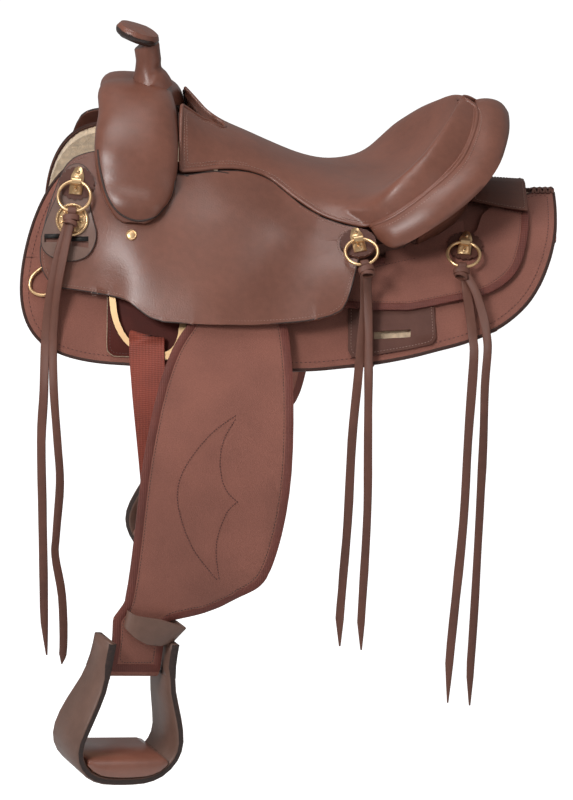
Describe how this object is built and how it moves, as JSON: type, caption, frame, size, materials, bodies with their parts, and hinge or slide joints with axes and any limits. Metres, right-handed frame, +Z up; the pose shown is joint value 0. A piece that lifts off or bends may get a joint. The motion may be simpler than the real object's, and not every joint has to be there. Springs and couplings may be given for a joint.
{
  "type": "western trail saddle",
  "caption": "Western trail saddle with swelled fork and horn, dished seat with rolled cantle, woven skirts, fenders, stirrups, rings and hanging saddle strings.",
  "frame": {"origin": "middle of the horse's back under the seat, where the saddle is carried", "axes": "-X to the front (horn), +X to the rear, -Y to the near (left) side, +Z up"},
  "size_m": [0.7163, 0.9278, 0.9398],
  "materials": {
    "smooth_leather": "oiled, smooth",
    "woven_panel": "coarse woven nylon",
    "dark_leather": "matt",
    "rigging_leather": "matt",
    "webbing": "woven nylon strap",
    "fleece": "cream pile",
    "brass": "polished",
    "tree_covering": "rawhide",
    "bolt_steel": "plain"
  },
  "bodies": {
    "saddle": {"tree": "tree_covering", "horn_neck": "smooth_leather", "horn_cap": "smooth_leather", "swell_cover": "smooth_leather", "seat": "smooth_leather", "cantle_roll": "smooth_leather", "cantle_back": "smooth_leather", "rear_bridge": "smooth_leather", "side_jockey_L": "smooth_leather", "side_jockey_R": "smooth_leather", "rear_jockey_L": "woven_panel", "rear_jockey_R": "woven_panel", "skirt_L": "woven_panel", "skirt_R": "woven_panel", "skirt_fleece_L": "fleece", "skirt_fleece_R": "fleece", "front_rigging_plate_L": "rigging_leather", "front_rigging_plate_R": "rigging_leather", "rigging_dee_L": "brass", "rigging_dee_R": "brass", "tie_strap_L": "webbing", "tie_strap_R": "webbing", "rear_rigging_patch_L": "dark_leather", "rear_rigging_patch_R": "dark_leather", "concho_L": "brass", "concho_R": "brass", "latigo_keeper_L": "dark_leather", "latigo_keeper_R": "dark_leather", "rear_rosette_L": "smooth_leather", "rear_rosette_R": "smooth_leather", "front_clip_L": "brass", "front_clip_R": "brass", "mid_clip_L": "brass", "mid_clip_R": "brass", "rear_clip_L": "brass", "rear_clip_R": "brass"},
    "near_fender": {"fender_L": "woven_panel", "hobble_strap_L": "smooth_leather", "stirrup_bolt_L": "bolt_steel"},
    "near_stirrup": {"stirrup_L": "smooth_leather", "stirrup_tread_L": "smooth_leather"},
    "near_breast_dee": {"breast_dee_L": "brass"},
    "near_front_ring": {"front_ring_L": "brass"},
    "near_front_string": {"front_string_L": "smooth_leather"},
    "near_mid_ring": {"mid_ring_L": "brass"},
    "near_mid_string": {"mid_string_L": "smooth_leather"},
    "near_rear_ring": {"rear_ring_L": "brass"},
    "near_rear_string": {"rear_string_L": "smooth_leather"},
    "far_fender": {"fender_R": "woven_panel", "hobble_strap_R": "smooth_leather", "stirrup_bolt_R": "bolt_steel"},
    "far_stirrup": {"stirrup_R": "smooth_leather", "stirrup_tread_R": "smooth_leather"},
    "far_breast_dee": {"breast_dee_R": "brass"},
    "far_front_ring": {"front_ring_R": "brass"},
    "far_mid_ring": {"mid_ring_R": "brass"},
    "far_rear_ring": {"rear_ring_R": "brass"}
  },
  "joints": [
    {"name": "near_fender_swing", "type": "hinge", "parent": "saddle", "child": "near_fender", "pos_m": [-0.06, -0.18098, -0.04456], "axis": [0.1132, -0.8305, 0.5454], "range_deg": [-7, 10]},
    {"name": "near_stirrup_swing", "type": "hinge", "parent": "near_fender", "child": "near_stirrup", "pos_m": [-0.1971, -0.38115, -0.55608], "axis": [0.8466, 0.4858, -0.2173], "range_deg": [-30, 30]},
    {"name": "near_breast_dee_lift", "type": "hinge", "parent": "saddle", "child": "near_breast_dee", "pos_m": [-0.30387, -0.18971, -0.07736], "axis": [-0.4695, 0.3789, 0.7975], "range_deg": [0, 10]},
    {"name": "near_front_ring_flip", "type": "hinge", "parent": "saddle", "child": "near_front_ring", "pos_m": [-0.2738, -0.15953, 0.04528], "axis": [-0.9941, 0.0426, 0.0996], "range_deg": [0, 85]},
    {"name": "near_front_string_hang", "type": "hinge", "parent": "near_front_ring", "child": "near_front_string", "pos_m": [-0.27829, -0.18616, 0.01181], "axis": [-0.9941, 0.0426, 0.0996], "range_deg": [-85, 0]},
    {"name": "near_mid_ring_flip", "type": "hinge", "parent": "saddle", "child": "near_mid_ring", "pos_m": [0.0975, -0.17652, -0.02711], "axis": [-0.9781, -0.1697, -0.1201], "range_deg": [0, 85]},
    {"name": "near_mid_string_hang", "type": "hinge", "parent": "near_mid_ring", "child": "near_mid_string", "pos_m": [0.10644, -0.21088, -0.05137], "axis": [-0.9781, -0.1697, -0.1201], "range_deg": [-85, 0]},
    {"name": "near_rear_ring_flip", "type": "hinge", "parent": "saddle", "child": "near_rear_ring", "pos_m": [0.24021, -0.1421, -0.04072], "axis": [-0.9921, 0.086, 0.0913], "range_deg": [0, 85]},
    {"name": "near_rear_string_hang", "type": "hinge", "parent": "near_rear_ring", "child": "near_rear_string", "pos_m": [0.23497, -0.178, -0.06381], "axis": [-0.9921, 0.086, 0.0913], "range_deg": [-85, 0]},
    {"name": "far_fender_swing", "type": "hinge", "parent": "saddle", "child": "far_fender", "pos_m": [-0.06, 0.18098, -0.04456], "axis": [0.1132, 0.8305, 0.5454], "range_deg": [-6, 10]},
    {"name": "far_stirrup_swing", "type": "hinge", "parent": "far_fender", "child": "far_stirrup", "pos_m": [-0.15955, 0.38158, -0.56452], "axis": [0.8385, -0.5194, -0.1644], "range_deg": [-30, 30]},
    {"name": "far_breast_dee_lift", "type": "hinge", "parent": "saddle", "child": "far_breast_dee", "pos_m": [-0.30387, 0.18971, -0.07736], "axis": [0.4695, 0.3789, -0.7975], "range_deg": [0, 10]},
    {"name": "far_front_ring_flip", "type": "hinge", "parent": "saddle", "child": "far_front_ring", "pos_m": [-0.2738, 0.15953, 0.04528], "axis": [0.9941, 0.0426, -0.0996], "range_deg": [0, 85]},
    {"name": "far_mid_ring_flip", "type": "hinge", "parent": "saddle", "child": "far_mid_ring", "pos_m": [0.0975, 0.17652, -0.02711], "axis": [0.9781, -0.1697, 0.1201], "range_deg": [0, 85]},
    {"name": "far_rear_ring_flip", "type": "hinge", "parent": "saddle", "child": "far_rear_ring", "pos_m": [0.24021, 0.1421, -0.04072], "axis": [0.9921, 0.086, -0.0913], "range_deg": [0, 85]}
  ],
  "couplings": [
    {"joint": "near_front_string_hang", "follows": "near_front_ring_flip", "ratio": -1},
    {"joint": "near_mid_string_hang", "follows": "near_mid_ring_flip", "ratio": -1},
    {"joint": "near_rear_string_hang", "follows": "near_rear_ring_flip", "ratio": -1}
  ]
}
